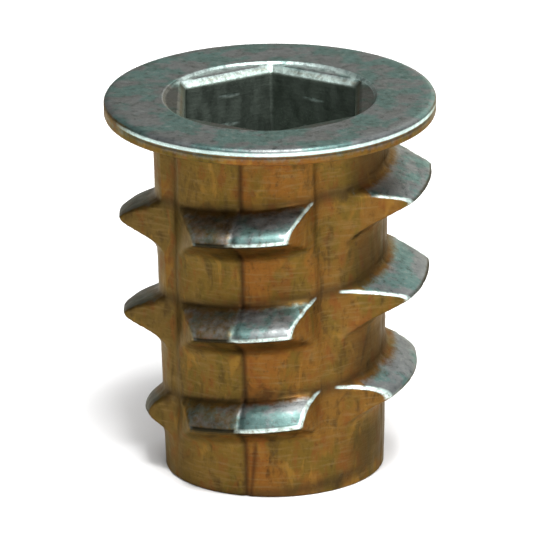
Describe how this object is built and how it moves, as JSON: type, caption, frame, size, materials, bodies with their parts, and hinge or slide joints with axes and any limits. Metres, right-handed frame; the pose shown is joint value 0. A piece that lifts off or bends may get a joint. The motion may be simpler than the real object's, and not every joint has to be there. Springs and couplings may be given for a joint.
{
  "type": "threaded insert",
  "caption": "Flanged hex-drive threaded insert for wood: die-cast column with interrupted wood thread, key socket and through bore.",
  "frame": {"origin": "centre of the foot, the annular end that the insert stands on", "axes": "+Z along the insert's axis, from the foot up to the flange; -Y is the front"},
  "size_m": [0.0156, 0.0156, 0.0182],
  "materials": {
    "chromated_zinc": "worn yellow chromate over grey zinc casting"
  },
  "bodies": {
    "root": {"threaded_insert": "chromated_zinc"}
  },
  "joints": []
}
